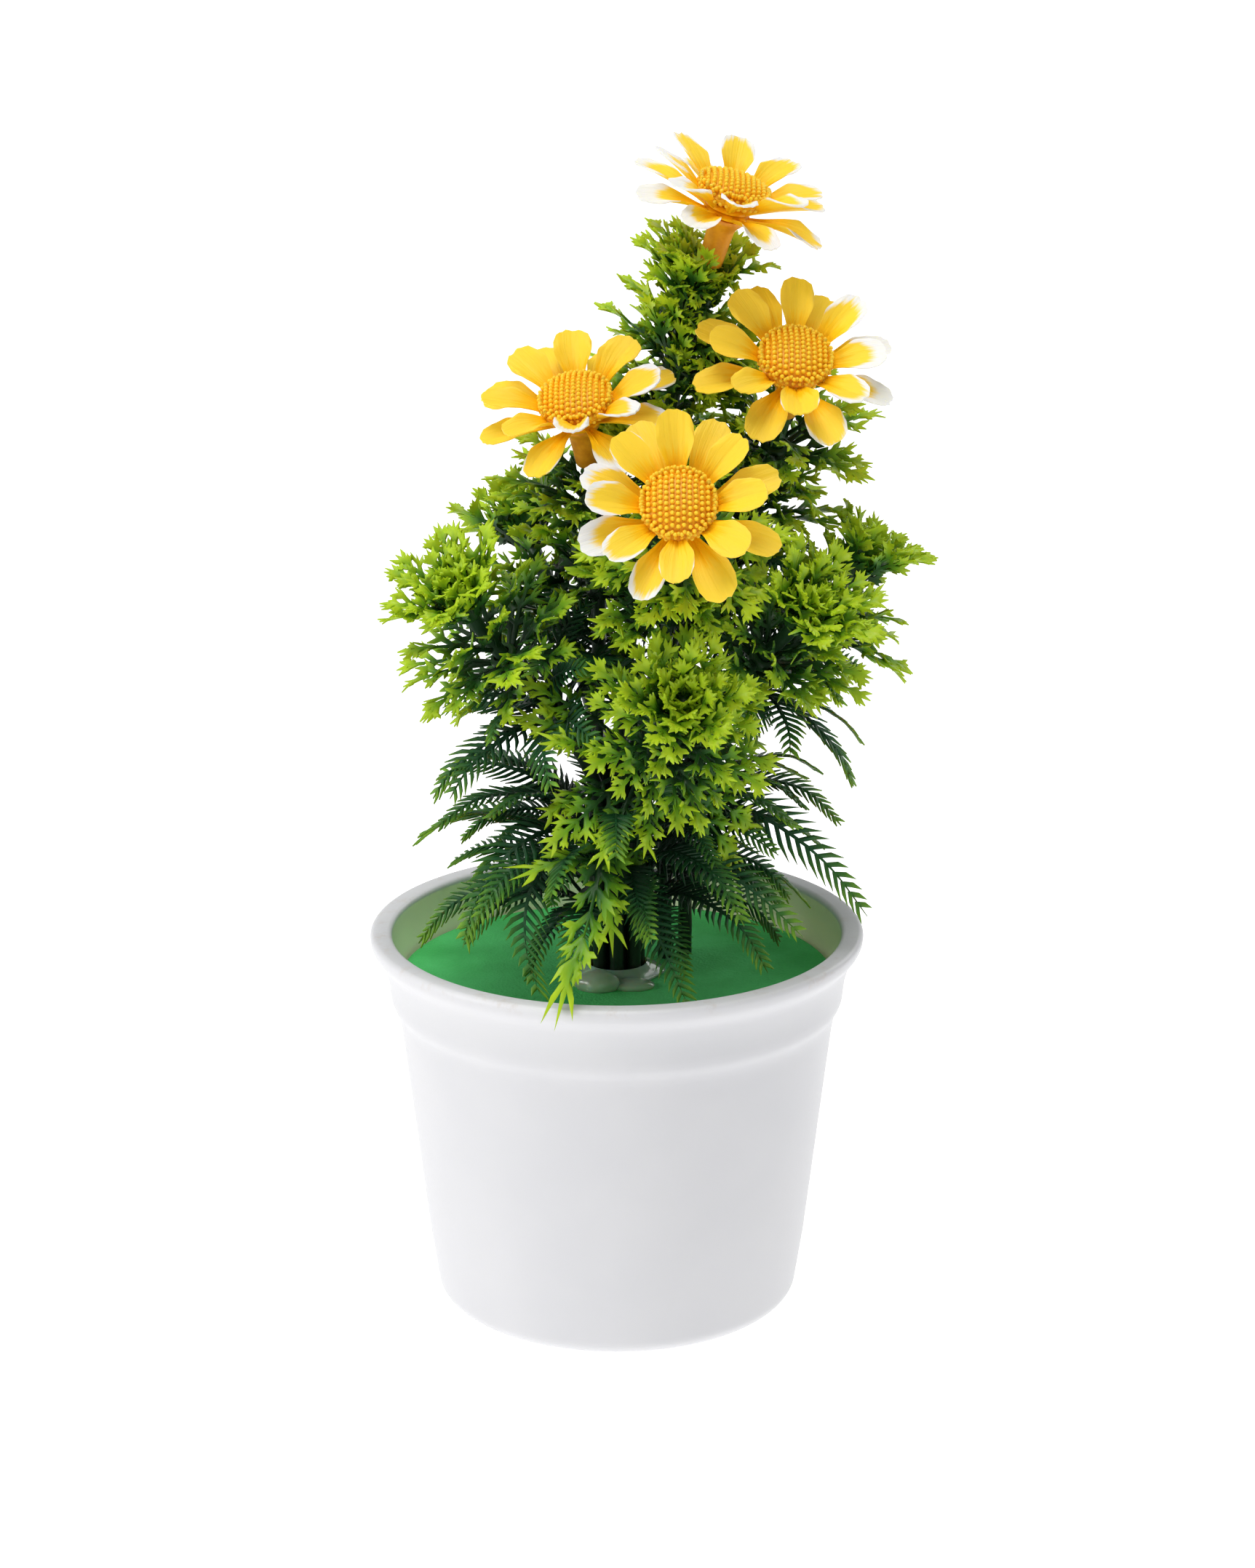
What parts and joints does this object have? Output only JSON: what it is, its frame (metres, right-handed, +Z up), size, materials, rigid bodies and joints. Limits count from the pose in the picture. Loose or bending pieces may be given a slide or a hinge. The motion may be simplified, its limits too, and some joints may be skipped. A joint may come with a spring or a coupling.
{
  "type": "artificial potted daisy bush",
  "caption": "Artificial bush of lacy and fern leaf whorls with yellow daisies on plastic stems, glued in a foam-filled tapered plastic pot.",
  "frame": {"origin": "centre of the pot's flat base, on the surface that it stands on", "axes": "+Z up, +X to the right as seen from the front, -Y the front, where the lowest flower leans out"},
  "size_m": [0.1038, 0.0963, 0.214],
  "materials": {
    "white_plastic": "satin",
    "green_foam": "matte",
    "pale_foam": "matte",
    "clear_glue": "gloss",
    "stem_plastic": "satin",
    "lime_leaf": "satin",
    "fern_leaf": "satin",
    "yellow_petal": "satin",
    "orange_calyx": "satin",
    "golden_centre": "satin"
  },
  "bodies": {
    "bush": {"back_left_branch_lacy_2": "lime_leaf", "back_left_branch_rosette_1": "lime_leaf", "back_left_branch_stem": "stem_plastic", "back_right_branch_lacy_2": "lime_leaf", "back_right_branch_rosette_1": "lime_leaf", "back_right_branch_stem": "stem_plastic", "far_right_branch_fern_3": "fern_leaf", "far_right_branch_lacy_2": "lime_leaf", "far_right_branch_long_fern_4": "fern_leaf", "far_right_branch_rosette_1": "lime_leaf", "far_right_branch_stem": "stem_plastic", "fern_low_skirt": "fern_leaf", "fern_mid_skirt": "fern_leaf", "fern_top_skirt": "fern_leaf", "filler_plug": "pale_foam", "foam_disc": "green_foam", "front_branch_lacy_2": "lime_leaf", "front_branch_rosette_1": "lime_leaf", "front_branch_spray_3": "lime_leaf", "front_branch_stem": "stem_plastic", "front_flower_lacy_1": "lime_leaf", "front_flower_lacy_2": "lime_leaf", "front_flower_stem": "stem_plastic", "glue_collar": "clear_glue", "left_branch_fern_3": "fern_leaf", "left_branch_lacy_2": "lime_leaf", "left_branch_rosette_1": "lime_leaf", "left_branch_stem": "stem_plastic", "left_flower_fern_3": "fern_leaf", "left_flower_lacy_1": "lime_leaf", "left_flower_lacy_2": "lime_leaf", "left_flower_stem": "stem_plastic", "pot": "white_plastic", "right_branch_lacy_2": "lime_leaf", "right_branch_rosette_1": "lime_leaf", "right_branch_stem": "stem_plastic", "right_flower_fern_3": "fern_leaf", "right_flower_lacy_1": "lime_leaf", "right_flower_lacy_2": "lime_leaf", "right_flower_stem": "stem_plastic", "top_flower_lacy_2": "lime_leaf", "top_flower_lacy_3": "lime_leaf", "top_flower_rosette_1": "lime_leaf", "top_flower_stem": "stem_plastic"},
    "front_flower_head": {"front_flower_calyx": "orange_calyx", "front_flower_lower_petals": "yellow_petal", "front_flower_upper_petals": "yellow_petal", "front_flower_centre": "golden_centre"},
    "left_flower_head": {"left_flower_calyx": "orange_calyx", "left_flower_lower_petals": "yellow_petal", "left_flower_upper_petals": "yellow_petal", "left_flower_centre": "golden_centre"},
    "right_flower_head": {"right_flower_calyx": "orange_calyx", "right_flower_lower_petals": "yellow_petal", "right_flower_upper_petals": "yellow_petal", "right_flower_centre": "golden_centre"},
    "top_flower_head": {"top_flower_calyx": "orange_calyx", "top_flower_lower_petals": "yellow_petal", "top_flower_upper_petals": "yellow_petal", "top_flower_centre": "golden_centre"}
  },
  "joints": [
    {"name": "front_flower_swivel", "type": "hinge", "parent": "bush", "child": "front_flower_head", "pos_m": [0.0107, -0.035, 0.1565], "axis": [-0.0501, -0.7818, 0.6215], "continuous": true},
    {"name": "left_flower_swivel", "type": "hinge", "parent": "bush", "child": "left_flower_head", "pos_m": [-0.0064, -0.0045, 0.1665], "axis": [-0.1507, -0.4621, 0.8739], "continuous": true},
    {"name": "right_flower_swivel", "type": "hinge", "parent": "bush", "child": "right_flower_head", "pos_m": [0.0305, -0.005, 0.1745], "axis": [0.1003, -0.6018, 0.7923], "continuous": true},
    {"name": "top_flower_swivel", "type": "hinge", "parent": "bush", "child": "top_flower_head", "pos_m": [0.019, 0.005, 0.201], "axis": [0.2797, -0.1998, 0.9391], "continuous": true}
  ]
}
